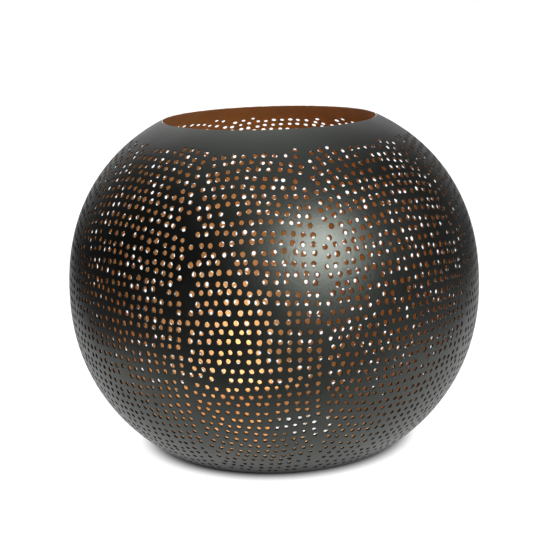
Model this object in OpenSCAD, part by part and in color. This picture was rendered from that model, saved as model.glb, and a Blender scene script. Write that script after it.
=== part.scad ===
// Pierced metal ball for a tealight: a thin spun shell with a round mouth on top and a flat floor,
// and the tealight that stands on the floor. Millimetres, +Z up, origin at the centre of the base.

/* [Ball] */
// Widest diameter of the ball
ball_d = 250; // [200:5:320]
// Diameter of the mouth at the cut edge
mouth_d = 128; // [90:2:150]
// Diameter of the flat base, where the wall starts to rise
base_d = 150; // [110:2:170]
// Thickness of the sheet
wall = 1; // [0.6:0.1:2]

/* [Ball outline] */
// Height of the upper curve's pole above the widest line, over the ball's radius
upper_rise = 0.928; // [0.85:0.002:1]
// Fullness of the upper curve, where 2 is an ellipse
upper_fullness = 2.22; // [2:0.01:2.5]
// Depth of the lower curve's pole below the widest line, over the ball's radius
lower_drop = 0.93; // [0.85:0.002:1]
// Fullness of the lower curve, where 2 is an ellipse
lower_fullness = 2.09; // [2:0.01:2.5]
// Length of the bend between the base and the wall
base_bend = 5; // [2:0.5:8]

/* [Tealight] */
// Outer diameter of the cup
tea_d = 38; // [37:0.5:40]
// Height of the cup
tea_h = 16; // [14:0.5:20]
// Thickness of the cup's foil
foil = 0.4; // [0.3:0.1:0.6]
// Radius of the rolled bead on the cup's rim
bead_r = 0.5; // [0.4:0.1:0.7]
// Depth of the wax
wax_h = 12.5; // [10:0.5:13]
// Sideways place of the tealight on the floor
tea_x = 16; // [0:1:16]
// Place of the tealight towards the front of the floor
tea_y = -38; // [-38:1:0]

/* [Wick] */
// Diameter of the wick
wick_d = 1.6; // [1.2:0.1:2]
// Length of wick that stands out of the wax
wick_out = 9; // [5:0.5:10]
// Diameter of the tab that holds the wick's foot
tab_d = 14; // [10:0.5:16]
// Thickness of the tab's sheet
tab_t = 0.4; // [0.3:0.1:0.6]
// Outer diameter of the tab's crimped neck
neck_d = 3; // [2.8:0.1:4]
// Height of the tab's crimped neck
neck_h = 4; // [3:0.5:5]

/* [Hidden] */

ball_r = ball_d / 2;
mouth_r = mouth_d / 2;
base_r = base_d / 2;

// Steps along each of the two curves, and along the bend at the base
curve_steps = 18;
bend_steps = 5;

// Height of a curve of the given rise and fullness above the widest line, where it has radius r
function curve_z(r, rise, n) = rise * ball_r * pow(1 - pow(r / ball_r, n), 1 / n);

// Angle that a point of radius r has in curve_point
function curve_angle(r, n) = acos(pow(r / ball_r, n / 2));

// Point of the curve, as radius and height above the widest line
function curve_point(angle, rise, n) =
  [ball_r * pow(cos(angle), 2 / n), rise * ball_r * pow(sin(angle), 2 / n)];

// Height of the widest line above the table, and of the mouth's edge
waist_z = curve_z(base_r, lower_drop, lower_fullness);
mouth_z = waist_z + curve_z(mouth_r, upper_rise, upper_fullness);

// The lower curve runs from where the bend ends up to the widest line, the upper one on to the mouth
bend_angle = curve_angle(base_r + 0.8 * base_bend, lower_fullness);
mouth_angle = curve_angle(mouth_r, upper_fullness);

lower_points = [for (i = [0:curve_steps])
  let (p = curve_point(bend_angle * (1 - i / curve_steps), lower_drop, lower_fullness))
  [p[0], waist_z - p[1]]];

upper_points = [for (i = [1:curve_steps])
  let (p = curve_point(mouth_angle * i / curve_steps, upper_rise, upper_fullness))
  [p[0], waist_z + p[1]]];

// The bend is a quadratic curve from the flat base, with its middle handle at the sharp corner
bend_start = [base_r - base_bend, 0];
bend_points = [for (i = [0:bend_steps - 1])
  let (t = i / bend_steps)
  (1 - t) * (1 - t) * bend_start + 2 * t * (1 - t) * [base_r, 0] + t * t * lower_points[0]];

outer_points = concat([[0, 0]], bend_points, lower_points, upper_points);
last = len(outer_points) - 1;

// Unit vector that points into the ball, square to the outline at point i
function inward(i) =
  i <= 1 ? [0, 1] :
  let (along = outer_points[min(i + 1, last)] - outer_points[i - 1])
  [-along[1], along[0]] / norm(along);

inner_points = [for (i = [last:-1:0]) outer_points[i] + wall * inward(i)];

wax_z = wall + foil;
wick_z = wax_z + tab_t;

// Moves its children to the tealight's place on the floor of the ball
module at_tealight() {
  translate([tea_x, tea_y, 0]) children();
}

module ball_shell() {
  color([0.13, 0.13, 0.125])
  rotate_extrude($fn = 128) polygon(concat(outer_points, inner_points));
}

module tealight_cup() {
  color([0.78, 0.79, 0.8])
  at_tealight() {
    difference() {
      translate([0, 0, wall]) cylinder(d = tea_d, h = tea_h - bead_r, $fn = 96);
      translate([0, 0, wax_z]) cylinder(d = tea_d - 2 * foil, h = tea_h, $fn = 96);
    }
    translate([0, 0, wall + tea_h - bead_r])
    rotate_extrude($fn = 96) translate([tea_d / 2 - foil / 2, 0]) circle(r = bead_r, $fn = 24);
  }
}

module wax() {
  color([0.93, 0.91, 0.86])
  at_tealight()
  difference() {
    translate([0, 0, wax_z]) cylinder(d = tea_d - 2 * foil, h = wax_h, $fn = 96);
    translate([0, 0, wax_z - 1]) cylinder(d = tab_d, h = tab_t + 1, $fn = 64);
    translate([0, 0, wax_z]) cylinder(d = neck_d, h = tab_t + neck_h, $fn = 48);
    translate([0, 0, wax_z]) cylinder(d = wick_d, h = wax_h + 1, $fn = 32);
  }
}

module wick() {
  color([0.9, 0.88, 0.82])
  at_tealight()
  translate([0, 0, wick_z]) cylinder(d = wick_d, h = wax_h - tab_t + wick_out, $fn = 32);
}

module wick_tab() {
  color([0.7, 0.71, 0.72])
  at_tealight()
  difference() {
    union() {
      translate([0, 0, wax_z]) cylinder(d = tab_d, h = tab_t, $fn = 64);
      translate([0, 0, wax_z]) cylinder(d = neck_d, h = tab_t + neck_h, $fn = 48);
    }
    translate([0, 0, wick_z]) cylinder(d = wick_d, h = neck_h + 1, $fn = 32);
  }
}

ball_shell();
tealight_cup();
wax();
wick();
wick_tab();
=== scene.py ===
import math
import random

import bpy
import numpy as np
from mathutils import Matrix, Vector
from mathutils.geometry import delaunay_2d_cdt


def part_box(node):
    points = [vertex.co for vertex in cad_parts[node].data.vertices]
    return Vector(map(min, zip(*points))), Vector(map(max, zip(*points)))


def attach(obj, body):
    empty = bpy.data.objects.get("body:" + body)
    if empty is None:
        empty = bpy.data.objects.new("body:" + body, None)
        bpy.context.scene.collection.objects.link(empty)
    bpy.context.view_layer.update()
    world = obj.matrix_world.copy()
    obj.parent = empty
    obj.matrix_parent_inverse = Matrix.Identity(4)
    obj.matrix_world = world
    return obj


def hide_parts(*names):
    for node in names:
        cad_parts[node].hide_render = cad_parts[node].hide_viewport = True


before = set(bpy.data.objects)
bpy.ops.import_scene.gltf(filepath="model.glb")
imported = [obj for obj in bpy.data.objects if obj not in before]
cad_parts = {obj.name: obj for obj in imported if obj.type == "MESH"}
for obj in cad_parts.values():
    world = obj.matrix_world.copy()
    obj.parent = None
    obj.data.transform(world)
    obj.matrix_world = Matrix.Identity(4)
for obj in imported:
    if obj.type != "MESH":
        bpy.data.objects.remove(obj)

bl_info = {
    "name": "Pierced Ball Tealight Holder",
    "version": (1, 0, 0),
    "blender": (4, 5, 0),
    "location": "View3D > Sidebar > Tealight Holder",
    "description": "Builds a blackened, gold-lined pierced metal ball, its tealight and a small studio",
    "category": "Add Mesh",
}

MM = 0.001
BALL_LOW, BALL_HIGH = (np.array(corner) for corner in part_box("ball_shell"))
BALL_RADIUS = float(BALL_HIGH[0] - BALL_LOW[0]) / 2
CUP_LOW, CUP_HIGH = (np.array(corner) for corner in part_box("tealight_cup"))
WAX_LOW, WAX_HIGH = (np.array(corner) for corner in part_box("wax"))
WICK_LOW, WICK_HIGH = (np.array(corner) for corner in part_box("wick"))
TEALIGHT_CENTRE = ((CUP_LOW + CUP_HIGH) / 2)[:2]

# Longitudes in degrees, counted from the front, of the plain strips between the fields of holes.
# They were marked out by eye on the real ball, so the fields are not all equally wide.
STRIPS = (-23, 12, 60, 105, 150, 198, 245, 292)

# How far hand drilling strays: the spread of a hole's place along its row and across it and the
# row's own waves, as shares of the pitch, then the spread of the holes' sizes and the share missed.
STRAY_ALONG, STRAY_ACROSS, ROW_WAVE = 0.065, 0.055, 0.11
SIZE_SPREAD, MISSED = 0.06, 0.012
# How much more a row sags towards its ends than a straight cut laid on the ball.
ROW_SAG = 1.15
# Forming closes the lowest holes by the first share of their size and draws them out by the second.
LOW_CLOSING, LOW_DRAWING = 0.13, 0.07


# ---------------------------------------------------------------- settings

class BallSettings(bpy.types.PropertyGroup):
    """Sizes of the ball and of its holes"""

    mouth_radius: bpy.props.FloatProperty(
        name="Mouth radius", description="Radius of the mouth at its cut edge",
        default=64 * MM, unit="LENGTH")
    base_radius: bpy.props.FloatProperty(
        name="Base radius", description="Radius where the flat base turns up into the wall",
        default=75 * MM, unit="LENGTH")
    base_bend: bpy.props.FloatProperty(
        name="Base bend", description="Length of the bend between the base and the wall",
        default=5 * MM, unit="LENGTH")
    upper_rise: bpy.props.FloatProperty(
        name="Upper rise", description="Height of the upper curve's pole over the ball's radius",
        default=0.928, unit="NONE")
    upper_fullness: bpy.props.FloatProperty(
        name="Upper fullness", description="Fullness of the upper curve, where 2 is an ellipse",
        default=2.22, unit="NONE")
    lower_drop: bpy.props.FloatProperty(
        name="Lower drop", description="Depth of the lower curve's pole over the ball's radius",
        default=0.93, unit="NONE")
    lower_fullness: bpy.props.FloatProperty(
        name="Lower fullness", description="Fullness of the lower curve, where 2 is an ellipse",
        default=2.09, unit="NONE")
    sheet: bpy.props.FloatProperty(
        name="Sheet", description="Thickness of the metal sheet in the lower half",
        default=1 * MM, unit="LENGTH")
    rim_sheet: bpy.props.FloatProperty(
        name="Sheet at the mouth", description="Thickness of the sheet where spinning thinned it",
        default=0.45 * MM, unit="LENGTH")
    hole_radius: bpy.props.FloatProperty(
        name="Hole radius", description="Usual radius of a drilled hole",
        default=1.45 * MM, unit="LENGTH")
    hole_stretch: bpy.props.FloatProperty(
        name="Hole stretch", description="Height of a hole over its width, from forming the sheet",
        default=1.14, unit="NONE")
    hole_pitch: bpy.props.FloatProperty(
        name="Hole pitch", description="Distance between holes along a row",
        default=5.25 * MM, unit="LENGTH")
    row_pitch: bpy.props.FloatProperty(
        name="Row pitch", description="Distance between rows",
        default=5.35 * MM, unit="LENGTH")
    hole_sides: bpy.props.IntProperty(
        name="Hole sides", description="Points round each hole", default=16)
    edge_wear: bpy.props.FloatProperty(
        name="Edge wear", description="Width of the rubbed edge round each hole",
        default=0.12 * MM, unit="LENGTH")
    top_row: bpy.props.FloatProperty(
        name="Top row", description="Height of the top row above the widest line, over the radius",
        default=0.735, unit="NONE")
    bottom_row: bpy.props.FloatProperty(
        name="Bottom row", description="Depth of the bottom row below the widest line, over the radius",
        default=0.705, unit="NONE")
    seed: bpy.props.IntProperty(
        name="Seed", description="Seed of the hand-drilled irregularity", default=7)


class FinishSettings(bpy.types.PropertyGroup):
    """Colours of the finishes"""

    steel: bpy.props.FloatVectorProperty(
        name="Blackened steel", description="Colour of the outside", subtype="COLOR",
        size=3, default=(0.0018, 0.0019, 0.0018))
    gold: bpy.props.FloatVectorProperty(
        name="Gold lining", description="Colour of the paint inside", subtype="COLOR",
        size=3, default=(0.74, 0.43, 0.18))
    wax: bpy.props.FloatVectorProperty(
        name="Wax", description="Colour of the wax", subtype="COLOR",
        size=3, default=(0.93, 0.91, 0.86))


class StudioSettings(bpy.types.PropertyGroup):
    """Camera and lights"""

    distance: bpy.props.FloatProperty(
        name="Camera distance", description="Distance from the ball's middle, in ball radii",
        default=6.5, unit="NONE")
    elevation: bpy.props.FloatProperty(
        name="Camera elevation", description="Angle of the camera above the horizon",
        default=math.radians(13.6), subtype="ANGLE")
    roll: bpy.props.FloatProperty(
        name="Camera roll", description="Turn of the camera about its own axis",
        default=math.radians(1.8), subtype="ANGLE")
    lens: bpy.props.FloatProperty(
        name="Lens", description="Focal length for a 36 mm sensor, in millimetres",
        default=86.1, unit="NONE")
    aim: bpy.props.FloatVectorProperty(
        name="Aim", description="Point that the camera looks at, from the ball's middle",
        size=3, default=(0.6 * MM, 0, 5.7 * MM), subtype="TRANSLATION")


# ---------------------------------------------------------------- outline of the ball

class Outline:
    """The ball's outer outline, walked by its length from the widest line, up being positive"""

    def __init__(self, ball):
        self.ball = ball
        self.upper = (ball.upper_rise * BALL_RADIUS, ball.upper_fullness)
        self.lower = (ball.lower_drop * BALL_RADIUS, ball.lower_fullness)
        self.waist_z = self.rise(ball.base_radius, self.lower)
        mouth_z = self.waist_z + self.rise(ball.mouth_radius, self.upper)
        if abs(mouth_z - BALL_HIGH[2]) > 0.2 * MM:
            raise RuntimeError("the outline doesn't end at the height of the CAD shell's mouth")
        self.wall_foot = ball.base_radius + 0.8 * ball.base_bend
        lower_r, lower_h = self.curve(self.wall_foot, self.lower)
        upper_r, upper_h = self.curve(ball.mouth_radius, self.upper)
        self.r = np.concatenate([lower_r[::-1], upper_r[1:]])
        self.h = np.concatenate([-lower_h[::-1], upper_h[1:]])
        lengths = np.hypot(np.diff(self.r), np.diff(self.h))
        walked = np.concatenate([[0], np.cumsum(lengths)])
        self.s = walked - walked[len(lower_r) - 1]

    def rise(self, r, half):
        """Height of a half's curve over the widest line at radius r"""
        height, fullness = half
        return height * (1 - (r / BALL_RADIUS) ** fullness) ** (1 / fullness)

    def curve(self, r_end, half, steps=800):
        """Radii and heights along a half's curve, from the widest line to radius r_end"""
        height, fullness = half
        end = math.acos((r_end / BALL_RADIUS) ** (fullness / 2))
        angle = np.linspace(0, end, steps)
        return (BALL_RADIUS * np.cos(angle) ** (2 / fullness),
                height * np.sin(angle) ** (2 / fullness))

    def at(self, s):
        """Radius and height above the table at length s"""
        return np.interp(s, self.s, self.r), self.waist_z + np.interp(s, self.s, self.h)

    def length_at(self, height):
        """Length at which the outline is at a height over the widest line"""
        return float(np.interp(height, self.h, self.s))

    def sheet(self, s):
        """Thickness of the sheet at length s"""
        ends = (-0.2 * BALL_RADIUS, 0.6 * BALL_RADIUS)
        return np.interp(s, ends, (self.ball.sheet, self.ball.rim_sheet))

    def normal(self, r, z):
        """Outward direction, as radial and upward parts, near a point of the wall"""
        over = z - self.waist_z
        tall = np.where(over > 0, self.upper[0], self.lower[0])
        full = np.where(over > 0, self.upper[1], self.lower[1])
        out = (np.maximum(r, 0) / BALL_RADIUS) ** (full - 1) / BALL_RADIUS
        up = np.sign(over) * (np.abs(over) / tall) ** (full - 1) / tall
        size = np.hypot(out, up)
        return out / size, up / size

    def place(self, longitude, s, depth):
        """Points at longitudes and lengths, sunk below the outer face by depth"""
        r, z = self.at(s)
        out, up = self.normal(r, z)
        r, z = r - depth * out, z - depth * up
        return np.stack([r * np.sin(longitude), -r * np.cos(longitude), z], axis=-1)


# ---------------------------------------------------------------- modelling helpers

def deselect_all():
    bpy.ops.object.select_all(action="DESELECT")


def activate(piece):
    deselect_all()
    piece.select_set(True)
    bpy.context.view_layer.objects.active = piece


def new_piece(name, verts, edges, faces):
    """An object made from lists, active and alone in the selection"""
    mesh = bpy.data.meshes.new(name)
    mesh.from_pydata(verts, edges, faces)
    piece = bpy.data.objects.new(name, mesh)
    bpy.context.scene.collection.objects.link(piece)
    activate(piece)
    return piece


def turned(name, profile, steps, centre=(0, 0)):
    """A solid turned about a vertical axis from (radius, height) points, which may form a loop"""
    closed = profile[0][0] > 0 and profile[-1][0] > 0
    verts = [(centre[0], centre[1] - r, z) for r, z in profile]
    edges = [(i, i + 1) for i in range(len(verts) - 1)]
    if closed:
        edges.append((len(verts) - 1, 0))
    piece = new_piece(name, verts, edges, [])
    bpy.ops.object.mode_set(mode="EDIT")
    bpy.ops.mesh.select_all(action="SELECT")
    bpy.ops.mesh.spin(
        steps=steps, angle=2 * math.pi, center=(centre[0], centre[1], 0), axis=(0, 0, 1))
    bpy.ops.mesh.select_all(action="SELECT")
    bpy.ops.mesh.remove_doubles(threshold=1e-6)
    bpy.ops.mesh.normals_make_consistent(inside=False)
    bpy.ops.object.mode_set(mode="OBJECT")
    return piece


def smooth(piece, angle=30):
    activate(piece)
    bpy.ops.object.shade_smooth_by_angle(angle=math.radians(angle))


def follow_outline(piece, outline, lowest):
    """Gives the faces that lie along the ball's wall the wall's own true normals"""
    mesh = piece.data
    count = len(mesh.loops)
    normals = np.empty(count * 3, dtype=np.float32)
    mesh.corner_normals.foreach_get("vector", normals)
    normals = normals.reshape(-1, 3)
    corner_vert = np.empty(count, dtype=np.int32)
    mesh.loops.foreach_get("vertex_index", corner_vert)
    points = np.empty(len(mesh.vertices) * 3, dtype=np.float32)
    mesh.vertices.foreach_get("co", points)
    points = points.reshape(-1, 3)[corner_vert]
    face_normal = np.empty(len(mesh.polygons) * 3, dtype=np.float32)
    mesh.polygons.foreach_get("normal", face_normal)
    corners = np.empty(len(mesh.polygons), dtype=np.int32)
    mesh.polygons.foreach_get("loop_total", corners)
    face_normal = np.repeat(face_normal.reshape(-1, 3), corners, axis=0)
    r = np.hypot(points[:, 0], points[:, 1])
    out, up = outline.normal(r, points[:, 2])
    round_r = np.maximum(r, 1e-9)
    true = np.stack([out * points[:, 0] / round_r, out * points[:, 1] / round_r, up], axis=-1)
    along = np.sum(true * face_normal, axis=1)
    on_wall = (np.abs(along) > 0.97) & (points[:, 2] > lowest)
    normals[on_wall] = (true * np.sign(along)[:, None])[on_wall]
    mesh.normals_split_custom_set(normals.tolist())


def paint(piece, *materials):
    piece.data.materials.clear()
    for material in materials:
        piece.data.materials.append(material)


# ---------------------------------------------------------------- shader maths

class Value:
    """A socket that takes part in Python arithmetic"""

    def __init__(self, shader, socket):
        self.shader = shader
        self.socket = socket

    def _math(self, operation, *terms):
        return self.shader.node("ShaderNodeMath", {"operation": operation}, *terms)

    def output(self, number):
        """Another output of the same node"""
        return Value(self.shader, self.socket.node.outputs[number])

    def __add__(self, other): return self._math("ADD", self, other)
    def __sub__(self, other): return self._math("SUBTRACT", self, other)
    def __rsub__(self, other): return self._math("SUBTRACT", other, self)
    def __mul__(self, other): return self._math("MULTIPLY", self, other)
    def __pow__(self, other): return self._math("POWER", self, other)
    __radd__ = __add__
    __rmul__ = __mul__

    def larger(self, other):
        """The larger of this and another value"""
        return self._math("MAXIMUM", self, other)

    def ramp(self, low, high):
        """0 below low, 1 above high and smooth between"""
        settings = {"interpolation_type": "SMOOTHSTEP"}
        return self.shader.node("ShaderNodeMapRange", settings, self, low, high, 0.0, 1.0)


class Shader:
    """A node tree: a new material's own, unless one is given"""

    def __init__(self, name=None, tree=None):
        if tree is None:
            self.material = bpy.data.materials.new(name)
            self.material.use_nodes = True
            tree = self.material.node_tree
        self.tree = tree
        self.tree.nodes.clear()

    def node(self, kind, settings=None, *inputs, out=0, **named):
        """Any node: its settings are set first, then its sockets by order or by name"""
        made = self.tree.nodes.new(kind)
        for key, value in (settings or {}).items():
            setattr(made, key, value)
        sockets = dict(enumerate(inputs))
        sockets.update({key.replace("_", " "): value for key, value in named.items()})
        for key, value in sockets.items():
            if value is None:
                continue
            if isinstance(value, Value):
                self.tree.links.new(value.socket, made.inputs[key])
            else:
                made.inputs[key].default_value = value
        return Value(self, made.outputs[out]) if made.outputs else None

    def place(self):
        return self.node("ShaderNodeTexCoord", out="Object")

    def noise(self, scale, detail=2.0, roughness=0.5, place=None):
        return self.node("ShaderNodeTexNoise", None, Vector=place or self.place(),
                         Scale=scale, Detail=detail, Roughness=roughness)

    def mix(self, factor, first, second):
        """A colour between two others"""
        made = self.tree.nodes.new("ShaderNodeMix")
        made.data_type = "RGBA"
        self.tree.links.new(factor.socket, made.inputs[0])
        for index, value in ((6, first), (7, second)):
            if isinstance(value, Value):
                self.tree.links.new(value.socket, made.inputs[index])
            else:
                made.inputs[index].default_value = (*value, 1)
        return Value(self, made.outputs[2])

    def bump(self, height, distance, strength):
        return self.node("ShaderNodeBump", None, Strength=strength, Distance=distance,
                         Height=height)

    def surface(self, **sockets):
        """Ends the material in a Principled surface with these sockets"""
        shader = self.node("ShaderNodeBsdfPrincipled", None, **sockets)
        self.node("ShaderNodeOutputMaterial", None, Surface=shader)
        return self.material


def blackened_steel(colour):
    """Satin black finish with a fine orange-peel grain and faint greyer rubbed patches"""
    s = Shader("blackened_steel")
    grain = s.noise(1000.0, 3.0, 0.65)
    cloud = s.noise(28.0, 3.0, 0.55).ramp(0.38, 0.68)
    speck = s.noise(420.0, 1.0).ramp(0.6, 0.72)
    worn = tuple(1.9 * c + 0.001 for c in colour)
    tone = s.mix(cloud * 0.55 + speck * 0.3, colour, worn)
    rough = 0.36 + cloud * 0.05 + (grain - 0.5) * 0.1
    return s.surface(Base_Color=tone, Roughness=rough, Specular_IOR_Level=0.52,
                     Specular_Tint=(0.92, 1, 0.89, 1), Normal=s.bump(grain, 0.00016, 0.7))


def hole_edge(colour):
    """The same black inside the drilled holes, duller and dustier"""
    s = Shader("hole_edge")
    dust = s.noise(300.0, 2.0).ramp(0.45, 0.7)
    tone = s.mix(dust, colour, (0.03, 0.022, 0.016))
    return s.surface(Base_Color=tone, Roughness=0.5 + dust * 0.15, Specular_IOR_Level=0.4)


def gold_paint(colour):
    """Warm gold paint with a mottled, softly metallic face, darkened to a browner tone toward the mouth
    as painted shade
    """
    s = Shader("gold_paint")
    # Painted shade: the inside toward the mouth is mixed to a darker brown tone, standing in for the
    # shade there.
    high = s.node("ShaderNodeSeparateXYZ", None, s.place()).output(2).ramp(0.11, 0.18)
    mottle = s.noise(60.0, 4.0, 0.6).ramp(0.3, 0.75)
    grain = s.noise(1100.0, 2.0)
    deep = tuple(c * f for c, f in zip(colour, (0.86, 0.78, 0.66)))
    painted_shade_brown = tuple(c * f for c, f in zip(colour, (0.44, 0.38, 0.28)))
    tone = s.mix(high, s.mix(mottle, deep, colour), painted_shade_brown)
    return s.surface(Base_Color=tone, Metallic=0.7, Roughness=0.42 + mottle * 0.1,
                     Normal=s.bump(grain, 0.00004, 0.5))


def bare_edge():
    """The cut edge of the sheet, worn to bright metal"""
    s = Shader("bare_edge")
    rub = s.noise(160.0, 3.0).ramp(0.35, 0.65)
    tone = s.mix(rub, (0.5, 0.46, 0.4), (0.8, 0.76, 0.68))
    return s.surface(Base_Color=tone, Metallic=0.6, Roughness=0.38 + rub * 0.12)


def foil():
    """Bright aluminium foil with faint rolling marks"""
    s = Shader("cup_foil")
    place = s.node("ShaderNodeMapping", None, s.place(), None, None, (900.0, 900.0, 40.0))
    streak = s.noise(1.0, 2.0, 0.5, place)
    return s.surface(Base_Color=s.mix(streak, (0.72, 0.72, 0.73), (0.86, 0.86, 0.87)),
                     Metallic=1.0, Roughness=0.22 + streak * 0.16,
                     Normal=s.bump(streak, 0.00003, 0.6))


def paraffin(colour):
    """Milky white wax, a little uneven where it set"""
    s = Shader("paraffin")
    cloud = s.noise(90.0, 3.0)
    skin = s.noise(260.0, 2.0)
    cool = tuple(c * 0.94 for c in colour)
    return s.surface(Base_Color=s.mix(cloud, cool, colour), Roughness=0.38 + skin * 0.14,
                     Subsurface_Weight=0.25, Subsurface_Radius=(0.004, 0.003, 0.002),
                     Subsurface_Scale=1.0, Normal=s.bump(skin, 0.0001, 0.35))


def cotton():
    """Waxed cotton strands"""
    s = Shader("cotton")
    fibre = s.noise(2600.0, 2.0, 0.6)
    return s.surface(Base_Color=s.mix(fibre, (0.62, 0.58, 0.5), (0.86, 0.83, 0.76)),
                     Roughness=0.72 + fibre * 0.15, Normal=s.bump(fibre, 0.00012, 0.7))


def tinned_steel():
    """Dull tinned sheet"""
    s = Shader("tinned_steel")
    rub = s.noise(700.0, 2.0)
    return s.surface(Base_Color=s.mix(rub, (0.5, 0.5, 0.5), (0.66, 0.66, 0.67)),
                     Metallic=1.0, Roughness=0.32 + rub * 0.18)


def studio_floor():
    """Plain floor that the camera sees white save for a painted contact shadow round the ball's foot,
    and that glows for the ball, with a painted pool of light near it and brightness behind it
    """
    s = Shader("studio_floor")
    tone = s.mix(s.noise(3.0, 2.0), (0.12, 0.12, 0.12), (0.14, 0.14, 0.14))
    right = s.node("ShaderNodeSeparateXYZ", None, s.place())
    back = right.output(1)
    # Painted contact shadow: the floor's glow is taken away in a ring round the ball's foot, which
    # leaves it dark.
    painted_contact_shadow = ((right * right + back * back) ** 0.5).ramp(0.073, 0.089)
    # Painted light: a pool of glow on the floor near the ball, shifted to the right and fading outward,
    # which the ball sees in its reflections and lighting.
    offset = right - 0.12
    painted_light_pool = 0.22 - ((offset * offset + back * back) ** 0.5).ramp(0.2, 0.5) * 0.22
    aside = right * right - back.larger(0.0) * 0.2
    behind = back.ramp(-0.19, -0.14) * (1.0 - aside.ramp(0.05, 0.1))
    camera_ray = s.node("ShaderNodeLightPath")
    glow = painted_contact_shadow * behind.larger(painted_light_pool).larger(camera_ray)
    return s.surface(Base_Color=tone, Roughness=0.6, Specular_IOR_Level=0.2,
                     Emission_Color=s.mix(glow, (0, 0, 0), (1, 1, 1)), Emission_Strength=1.0)


def shared(maker, *arguments):
    """The material that maker makes, made once"""
    name = maker.__name__
    if name not in shared.made:
        shared.made[name] = maker(*arguments)
    return shared.made[name]


shared.made = {}


# ---------------------------------------------------------------- drilled wall

def row_holes(dice, ball, outline, left, right, row, top_s):
    """Longitudes and lengths of one row's holes. A row was marked as a straight line across its
    field before the sheet was formed, so on the ball it sags from the field's middle."""
    middle = (left + right) / 2
    pitch = ball.row_pitch
    row_angle = (top_s - row * pitch) / BALL_RADIUS
    wave = dice.uniform(0, 2 * math.pi)
    radius, _ = outline.at(row_angle * BALL_RADIUS)
    width = (right - left) * float(radius)
    stagger = 0.4 * ball.hole_pitch if row % 2 else 0
    start = ball.hole_pitch * dice.uniform(0.44, 0.6) + stagger
    end = width - ball.hole_pitch * dice.uniform(0.44, 0.8)
    count = max(1, round((end - start) / ball.hole_pitch))
    for i in range(count + 1):
        along = start + (end - start) * i / count + dice.gauss(0, STRAY_ALONG) * ball.hole_pitch
        longitude = left + along / float(radius)
        sag = math.atan(math.tan(row_angle) * math.cos(ROW_SAG * (longitude - middle)))
        s = sag * BALL_RADIUS + dice.gauss(0, STRAY_ACROSS) * pitch
        s += ROW_WAVE * pitch * math.sin(9 * (longitude - left) + wave)
        yield longitude, s


def field_holes(dice, ball, outline, left, right, low_s, high_s):
    """All the holes of one field, as longitude, length along the outline, and radius"""
    top_s = high_s - ball.row_pitch
    rows = round((high_s - low_s) / ball.row_pitch) + 3
    holes = []
    for row in range(-4, rows + 1):
        if abs(top_s - row * ball.row_pitch) > 1.4 * BALL_RADIUS:
            continue
        for longitude, s in row_holes(dice, ball, outline, left, right, row, top_s):
            open_share = 1 - LOW_CLOSING * min(max(-s / (0.5 * BALL_RADIUS), 0), 1)
            drilled = min(max(dice.gauss(1, SIZE_SPREAD), 0.84), 1.14)
            radius = ball.hole_radius * open_share * drilled
            if dice.random() < MISSED:
                continue
            reach = 1.12 * radius + 2.4 * ball.edge_wear
            r, _ = outline.at(s)
            room = min(longitude - left, right - longitude) * float(r)
            if room < reach + 0.3 * MM or not low_s + reach < s < high_s - reach:
                continue
            near = ((lon - longitude) ** 2 * float(r) ** 2 + (other - s) ** 2
                    < (reach + size + 2.4 * ball.edge_wear) ** 2 for lon, other, size in holes)
            if not any(near):
                holes.append((longitude, s, radius))
    return holes


def hole_ring(dice, ball, r, s, radius, turns):
    """One hole's outline round its middle, as longitudes and lengths. It is a little taller than
    wide and out of true, and below the widest line it is drawn out downwards like a drop."""
    drop = LOW_DRAWING * min(max(-s / (0.3 * BALL_RADIUS), 0), 1)
    lobes = 0.03 * np.cos(2 * turns + dice.uniform(0, 6.3))
    lobes += 0.025 * np.cos(3 * turns + dice.uniform(0, 6.3))
    reach = radius * (1 + lobes + drop * np.cos(3 * (turns + math.pi / 2)))
    stretch = math.sqrt(ball.hole_stretch) * dice.gauss(1, 0.02)
    return np.stack([reach * np.cos(turns) / stretch / r, reach * np.sin(turns) * stretch], axis=-1)


def side_levels(low_s, high_s):
    """Lengths at which the sides of every field have a point"""
    return np.linspace(low_s, high_s, round((high_s - low_s) / (2.6 * MM)) + 1)


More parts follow.
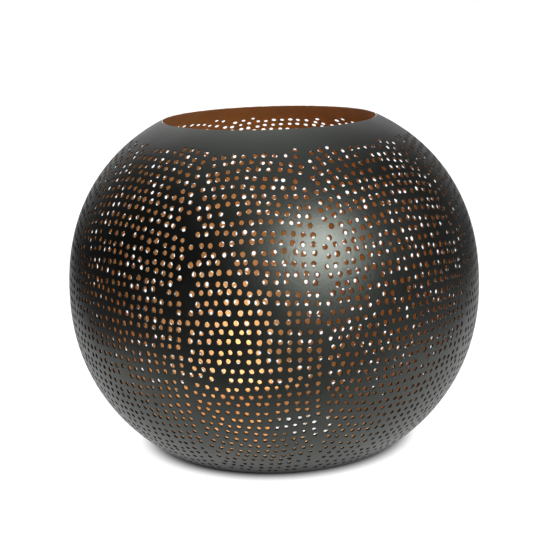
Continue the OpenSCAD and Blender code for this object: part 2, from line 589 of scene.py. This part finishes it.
def drilled_sheet(dice, ball, outline, left_deg, right_deg, low_s, high_s, holes):
    """One field as a closed solid. It is laid out flat and its web filled by triangles round
    the holes, then each point is placed on the ball. Returns points, faces and face kinds."""
    sides = ball.hole_sides
    levels = side_levels(low_s, high_s)
    columns = np.radians(np.arange(left_deg, right_deg + 1))
    rim = [(a, low_s) for a in columns[:-1]] + [(columns[-1], s) for s in levels[:-1]]
    rim += [(a, high_s) for a in columns[:0:-1]] + [(columns[0], s) for s in levels[:0:-1]]
    turns = np.linspace(0, 2 * math.pi, sides, endpoint=False)
    outer, inner = [np.array(rim)], [np.array(rim)]
    for longitude, s, radius in holes:
        r, _ = outline.at(s)
        ring = hole_ring(dice, ball, float(r), s, radius, turns)
        outer.append(np.array((longitude, s)) + ring * (1 + ball.edge_wear / radius))
        inner.append(np.array((longitude, s)) + ring)
    outer, inner = np.concatenate(outer), np.concatenate(inner)

    rings = [list(range(start, start + sides)) for start in range(len(rim), len(outer), sides)]
    loops = [list(range(len(rim)))] + rings
    edges = [(loop[i - 1], loop[i]) for loop in loops for i in range(len(loop))]
    flat = [Vector((x * BALL_RADIUS / MM, y / MM)) for x, y in outer]
    _, _, found, source, _, owners = delaunay_2d_cdt(flat, edges, rings, 1, 1e-6)
    web = [tuple(source[v][0] for v in face) for face, owner in zip(found, owners) if not owner]

    count, first_ring = len(outer), len(rim)
    drop = count + len(outer) - first_ring
    points = np.concatenate([
        outline.place(outer[:, 0], outer[:, 1], 0),
        outline.place(inner[first_ring:, 0], inner[first_ring:, 1], ball.edge_wear),
        outline.place(inner[:, 0], inner[:, 1], outline.sheet(inner[:, 1]))])
    faces, kinds = list(web), [0] * len(web)
    faces += [tuple(v + drop for v in reversed(face)) for face in web]
    kinds += [1] * len(web)
    for ring in rings:
        for i in range(sides):
            a, b = ring[i - 1], ring[i]
            mid_a, mid_b = a + count - first_ring, b + count - first_ring
            faces += [(a, b, mid_b, mid_a), (mid_a, mid_b, b + drop, a + drop)]
            kinds += [0, 2]
    for i in range(first_ring):
        a, b = i - 1 if i else first_ring - 1, i
        faces.append((b, a, a + drop, b + drop))
        kinds.append(2)
    return points, faces, kinds


def drilled_zone(ball, outline):
    """The lengths between which the wall is drilled"""
    margin = 1.05 * ball.row_pitch
    return (outline.length_at(-ball.bottom_row * BALL_RADIUS) - margin,
            outline.length_at(ball.top_row * BALL_RADIUS) + margin)


# ---------------------------------------------------------------- operators

class TEALIGHT_OT_pierced_wall(bpy.types.Operator):
    """Adds the drilled fields of the ball's wall, one piece for each field between two strips"""
    bl_idname = "tealight.pierced_wall"
    bl_label = "Pierced Wall"

    def execute(self, context):
        ball, finish = context.scene.ball_settings, context.scene.finish_settings
        outline = Outline(ball)
        dice = random.Random(ball.seed)
        low_s, high_s = drilled_zone(ball, outline)
        ends = STRIPS[1:] + (STRIPS[0] + 360,)
        for number, (left, right) in enumerate(zip(STRIPS, ends), 1):
            sides = math.radians(left), math.radians(right)
            holes = field_holes(dice, ball, outline, *sides, low_s, high_s)
            points, faces, kinds = drilled_sheet(
                dice, ball, outline, left, right, low_s, high_s, holes)
            piece = new_piece(f"pierced_wall_{number}", points.tolist(), [], faces)
            smooth(piece)
            follow_outline(piece, outline, 0)
            paint(piece, shared(blackened_steel, finish.steel), shared(gold_paint, finish.gold),
                  shared(hole_edge, finish.steel))
            piece.data.polygons.foreach_set("material_index", kinds)
            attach(piece, "ball")
            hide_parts("ball_shell")
        return {"FINISHED"}


class TEALIGHT_OT_mouth_band(bpy.types.Operator):
    """Adds the plain band round the mouth, with its cut edge"""
    bl_idname = "tealight.mouth_band"
    bl_label = "Mouth Band"

    def execute(self, context):
        ball, finish = context.scene.ball_settings, context.scene.finish_settings
        outline = Outline(ball)
        _, high_s = drilled_zone(ball, outline)
        walk = np.linspace(high_s, outline.s[-1], 9)
        blunt, sheet = 0.3 * MM, outline.sheet(walk)
        outer = [outline.place(0, s, 0) for s in walk[:-1]]
        outer += [outline.place(0, walk[-1] - blunt, 0), outline.place(0, walk[-1], blunt),
                  outline.place(0, walk[-1], sheet[-1] - blunt / 2)]
        inner = [outline.place(0, walk[-1] - blunt / 2, sheet[-1])]
        inner += [outline.place(0, s, depth) for s, depth in zip(walk[-2::-1], sheet[-2::-1])]
        profile = [(-p[1], p[2]) for p in outer + inner]
        piece = turned("mouth_band", profile, 360)
        smooth(piece)
        follow_outline(piece, outline, 0)
        paint(piece, shared(blackened_steel, finish.steel), shared(gold_paint, finish.gold),
              shared(bare_edge))
        self.sort_faces(piece, outline)
        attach(piece, "ball")
        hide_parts("ball_shell")
        return {"FINISHED"}

    @staticmethod
    def sort_faces(piece, outline):
        """Gives the inner face the gold and the cut edge the bare metal"""
        for face in piece.data.polygons:
            x, y, z = face.center
            out, up = outline.normal(math.hypot(x, y), z)
            radial = (face.normal.x * x + face.normal.y * y) / math.hypot(x, y)
            along = radial * out + face.normal.z * up
            face.material_index = 0 if along > 0.9 else 1 if along < -0.9 else 2


class TEALIGHT_OT_ball_floor(bpy.types.Operator):
    """Adds the flat floor of the ball with the bend and the plain strip above it"""
    bl_idname = "tealight.ball_floor"
    bl_label = "Ball Floor"

    def execute(self, context):
        ball, finish = context.scene.ball_settings, context.scene.finish_settings
        outline = Outline(ball)
        low_s, _ = drilled_zone(ball, outline)
        foot_r, foot_z = (float(v) for v in outline.at(outline.s[0]))
        flat_end = ball.base_radius - ball.base_bend
        bend = []
        for t in np.linspace(0, 1, 7)[:-1]:
            start, handle, end = (1 - t) ** 2, 2 * t * (1 - t), t * t
            bend.append((start * flat_end + handle * ball.base_radius + end * foot_r,
                         end * foot_z))
        wall = [outline.at(s) for s in np.linspace(outline.s[0], low_s, 4)]
        outer = [(r, 0.0) for r in np.linspace(0, flat_end, 8)[:-1]] + bend
        outer += [(float(r), float(z)) for r, z in wall]
        inner = []
        for i, (r, z) in enumerate(outer):
            after, before = outer[min(i + 1, len(outer) - 1)], outer[max(i - 1, 0)]
            step = Vector((after[0] - before[0], after[1] - before[1])).normalized()
            inner.append((max(r - ball.sheet * step.y, 0.0), z + ball.sheet * step.x))
        last = outline.place(0, low_s, ball.sheet)
        inner[-1] = (-last[1], last[2])
        piece = turned("ball_floor", outer + inner[::-1], 360)
        smooth(piece)
        follow_outline(piece, outline, foot_z)
        paint(piece, shared(blackened_steel, finish.steel), shared(gold_paint, finish.gold))
        middle = Vector((0, 0, outline.waist_z))
        for face in piece.data.polygons:
            face.material_index = int(face.normal.dot(middle - face.center) > 0)
        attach(piece, "ball")
        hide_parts("ball_shell")
        return {"FINISHED"}


class TEALIGHT_OT_cup(bpy.types.Operator):
    """Adds the tealight's fluted foil cup with its rolled rim"""
    bl_idname = "tealight.cup"
    bl_label = "Tealight Cup"

    FLUTES = 60

    def execute(self, context):
        radius = float(WAX_HIGH[0] - WAX_LOW[0]) / 2
        low, top = float(CUP_LOW[2]), float(CUP_HIGH[2])
        skin, bead = 0.3 * MM, 0.5 * MM
        outside = radius + 0.35 * MM
        levels = np.linspace(low + 1.2 * MM, top - 2 * bead, 7)
        outer = [(0, low + 0.25 * MM), (radius - 4 * MM, low + 0.25 * MM),
                 (radius - 3.4 * MM, low), (radius - 1 * MM, low), (outside - 0.2 * MM, low + 0.4 * MM)]
        outer += [(outside, z) for z in levels]
        roll = [(outside + bead * math.sin(a), top - bead - bead * math.cos(a))
                for a in np.linspace(0, 1.5 * math.pi, 10)]
        inner = [(radius + 0.02 * MM, z) for z in levels[::-1]]
        inner += [(radius - 0.8 * MM, low + skin), (radius - 4 * MM, low + skin + 0.05 * MM),
                  (0, low + skin + 0.05 * MM)]
        centre = tuple(float(v) for v in TEALIGHT_CENTRE)
        piece = turned("tealight_cup_fluted", outer + roll + inner, 4 * self.FLUTES, centre)
        self.press_flutes(piece, centre, outside, levels)
        smooth(piece, 40)
        paint(piece, shared(foil))
        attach(piece, "tealight")
        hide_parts("tealight_cup")
        return {"FINISHED"}

    def press_flutes(self, piece, centre, outside, levels):
        """Pulls every other column of the wall's outer face in a little"""
        for vertex in piece.data.vertices:
            x, y = vertex.co.x - centre[0], vertex.co.y - centre[1]
            r = math.hypot(x, y)
            if abs(r - outside) > 0.01 * MM or not levels[0] - 1e-6 < vertex.co.z < levels[-1] - 1e-6:
                continue
            turn = math.atan2(y, x) * self.FLUTES
            press = 1 - (0.14 * MM * (1 - math.cos(turn))) / r
            vertex.co.x, vertex.co.y = centre[0] + x * press, centre[1] + y * press


class TEALIGHT_OT_wax(bpy.types.Operator):
    """Adds the wax with its raised edge and the dip round the wick"""
    bl_idname = "tealight.wax"
    bl_label = "Tealight Wax"

    def execute(self, context):
        finish = context.scene.finish_settings
        radius = float(WAX_HIGH[0] - WAX_LOW[0]) / 2
        low, top = float(WAX_LOW[2]) + 0.02 * MM, float(WAX_HIGH[2])
        profile = [(0, low), (radius - 0.4 * MM, low), (radius, low + 0.4 * MM),
                   (radius, top - 0.1 * MM)]
        profile += [(radius - 0.25 * MM, top), (radius - 0.7 * MM, top - 0.25 * MM)]
        for r in np.linspace(radius - 1.6 * MM, 0, 12):
            dip = 0.45 * MM + 0.5 * MM * math.exp(-(r / (2.6 * MM)) ** 2)
            profile.append((float(r), top - dip))
        centre = tuple(float(v) for v in TEALIGHT_CENTRE)
        piece = turned("wax_block", profile, 96, centre)
        smooth(piece, 50)
        paint(piece, shared(paraffin, finish.wax))
        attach(piece, "tealight")
        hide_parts("wax")
        return {"FINISHED"}


class TEALIGHT_OT_wick(bpy.types.Operator):
    """Adds the wick as three twisted strands with a slight lean"""
    bl_idname = "tealight.wick"
    bl_label = "Wick"

    def execute(self, context):
        strand, offset, sides = 0.42 * MM, 0.4 * MM, 8
        low, top = float(WICK_LOW[2]), float(WICK_HIGH[2]) - 0.3 * MM
        verts = []
        for number in range(3):
            turn = 2 * math.pi * number / 3
            for i in range(sides):
                a = 2 * math.pi * i / sides
                r, side = offset + strand * math.cos(a), strand * math.sin(a)
                verts.append((r * math.cos(turn) - side * math.sin(turn),
                              r * math.sin(turn) + side * math.cos(turn), low))
        faces = [tuple(range(n * sides, (n + 1) * sides)) for n in range(3)]
        piece = new_piece("twisted_wick", verts, [], faces)
        twist = piece.modifiers.new("twist", "SCREW")
        twist.angle, twist.screw_offset = 2 * math.pi * 3.5, top - low
        twist.steps = twist.render_steps = 90
        bpy.ops.object.modifier_apply(modifier=twist.name)
        bpy.ops.object.mode_set(mode="EDIT")
        bpy.ops.mesh.select_all(action="SELECT")
        bpy.ops.mesh.remove_doubles(threshold=1e-6)
        bpy.ops.mesh.normals_make_consistent(inside=False)
        bpy.ops.object.mode_set(mode="OBJECT")
        free = float(WAX_HIGH[2]) - 0.5 * MM
        for vertex in piece.data.vertices:
            lean = max(0.0, vertex.co.z - free) ** 2 * 22
            vertex.co.x += float(TEALIGHT_CENTRE[0]) + lean
            vertex.co.y += float(TEALIGHT_CENTRE[1]) - 0.4 * lean
        smooth(piece, 60)
        paint(piece, shared(cotton))
        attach(piece, "tealight")
        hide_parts("wick")
        return {"FINISHED"}


class TEALIGHT_OT_wick_tab(bpy.types.Operator):
    """Gives the wick's tab, sunk in the wax, its tinned finish"""
    bl_idname = "tealight.wick_tab"
    bl_label = "Wick Tab"

    def execute(self, context):
        paint(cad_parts["wick_tab"], shared(tinned_steel))
        return {"FINISHED"}


class TEALIGHT_OT_studio(bpy.types.Operator):
    """Adds the floor, the lights, the surroundings and the camera"""
    bl_idname = "tealight.studio"
    bl_label = "Studio"

    def execute(self, context):
        self.floor()
        self.surroundings(context.scene)
        self.lights()
        self.camera(context.scene)
        return {"FINISHED"}

    def floor(self):
        deselect_all()
        bpy.ops.mesh.primitive_plane_add(size=4)
        floor = bpy.context.object
        floor.name = "studio_floor"
        paint(floor, shared(studio_floor))

    def surroundings(self, scene):
        """Lights the ball from behind and above, dimly from the right and hardly from elsewhere,
        while the camera sees plain white"""
        world = bpy.data.worlds.new("studio")
        scene.world = world
        world.use_nodes = True
        s = Shader(tree=world.node_tree)
        split = s.node("ShaderNodeSeparateXYZ", None, s.node("ShaderNodeTexCoord", out="Generated"))
        right, back, up = split, split.output(1), split.output(2)
        behind = back.ramp(0.7, 0.97) * (1.0 - right.ramp(-0.1, 0.5) * 0.35)
        above = up.ramp(0.75, 0.97)
        high_back = (up * 0.7 + back * 0.72).ramp(0.82, 0.96) * (1.0 - right.ramp(-0.2, 0.5) * 0.45)
        high_left = (up * 0.54 + back * 0.53 - right * 0.67).ramp(0.88, 0.98)
        aside = right.ramp(0.2, 0.9) * 0.08
        level = 0.005 + behind * 0.8 + above * 0.85 + high_back * 1.1 + high_left * 0.12 + aside
        seen = s.node("ShaderNodeBackground", None, (1, 1, 1, 1), 1.0)
        unseen = s.node("ShaderNodeBackground", None, (1, 1, 1, 1), level)
        camera_ray = s.node("ShaderNodeLightPath")
        either = s.node("ShaderNodeMixShader", None, camera_ray, unseen, seen)
        s.node("ShaderNodeOutputWorld", None, either)

    def soft_light(self, name, where, size, power):
        """A square soft light that looks at the middle of the ball"""
        deselect_all()
        bpy.ops.object.light_add(type="AREA", location=where)
        light = bpy.context.object
        light.name = name
        from_middle = Vector(where) - Vector((0, 0, 0.1))
        light.rotation_euler = from_middle.to_track_quat("Z", "Y").to_euler()
        light.data.size = size
        light.data.energy = power

    def mouth_light(self, name, azimuth, elevation, power):
        """A narrow lamp that shines down through the mouth, nearly filling it, from an azimuth
        counted from the front and an elevation, both in degrees"""
        a, e = math.radians(azimuth), math.radians(elevation)
        distance, beam = 1.2, 57 * MM * math.sin(e)
        mouth = Vector((0, 0, BALL_HIGH[2]))
        towards = Vector((math.sin(a) * math.cos(e), -math.cos(a) * math.cos(e), math.sin(e)))
        deselect_all()
        bpy.ops.object.light_add(type="SPOT", location=mouth + towards * distance)
        light = bpy.context.object
        light.name = name
        light.rotation_euler = towards.to_track_quat("Z", "Y").to_euler()
        light.data.spot_size = 2 * math.atan(beam / distance)
        light.data.spot_blend = 0.5
        light.data.shadow_soft_size = 0.02
        light.data.energy = power

    def lights(self):
        self.soft_light("key_light", where=(0.60, -1.18, 0.79), size=0.65, power=37)
        self.mouth_light("back_wall_light", azimuth=27, elevation=53, power=34)
        self.mouth_light("low_wall_light", azimuth=52, elevation=69, power=28)
        self.mouth_light("floor_light", azimuth=35, elevation=79, power=38)
        self.mouth_light("tealight_light", azimuth=200, elevation=82, power=65)

    def camera(self, scene):
        studio = scene.studio_settings
        middle = Vector((0, 0, Outline(scene.ball_settings).waist_z))
        distance = studio.distance * BALL_RADIUS
        back = Vector((0, -math.cos(studio.elevation), math.sin(studio.elevation)))
        aim = middle + Vector(studio.aim)
        deselect_all()
        bpy.ops.object.camera_add(location=middle + back * distance)
        camera = bpy.context.object
        camera.name = "camera"
        camera.rotation_euler = (camera.location - aim).to_track_quat("Z", "Y").to_euler()
        camera.rotation_euler.rotate_axis("Z", -studio.roll)
        camera.data.lens = studio.lens
        camera.data.sensor_width = 36
        scene.camera = camera
        scene.view_settings.view_transform = "Standard"


OPERATORS = (
    TEALIGHT_OT_pierced_wall,
    TEALIGHT_OT_mouth_band,
    TEALIGHT_OT_ball_floor,
    TEALIGHT_OT_cup,
    TEALIGHT_OT_wax,
    TEALIGHT_OT_wick,
    TEALIGHT_OT_wick_tab,
    TEALIGHT_OT_studio,
)


class TEALIGHT_PT_panel(bpy.types.Panel):
    """Lists the pieces of the tealight holder"""
    bl_idname = "TEALIGHT_PT_panel"
    bl_label = "Tealight Holder"
    bl_space_type = "VIEW_3D"
    bl_region_type = "UI"
    bl_category = "Tealight Holder"

    def draw(self, context):
        for operator in OPERATORS:
            self.layout.operator(operator.bl_idname)
        for group in (context.scene.ball_settings, context.scene.finish_settings,
                      context.scene.studio_settings):
            box = self.layout.box()
            for name in group.__annotations__:
                box.prop(group, name)


CLASSES = (BallSettings, FinishSettings, StudioSettings, *OPERATORS, TEALIGHT_PT_panel)


def register():
    for cls in CLASSES:
        bpy.utils.register_class(cls)
    bpy.types.Scene.ball_settings = bpy.props.PointerProperty(type=BallSettings)
    bpy.types.Scene.finish_settings = bpy.props.PointerProperty(type=FinishSettings)
    bpy.types.Scene.studio_settings = bpy.props.PointerProperty(type=StudioSettings)


def unregister():
    del bpy.types.Scene.studio_settings
    del bpy.types.Scene.finish_settings
    del bpy.types.Scene.ball_settings
    for cls in reversed(CLASSES):
        bpy.utils.unregister_class(cls)


def main():
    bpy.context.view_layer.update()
    register()
    for operator in OPERATORS:
        group, name = operator.bl_idname.split(".")
        getattr(getattr(bpy.ops, group), name)()


if __name__ == "__main__":
    main()
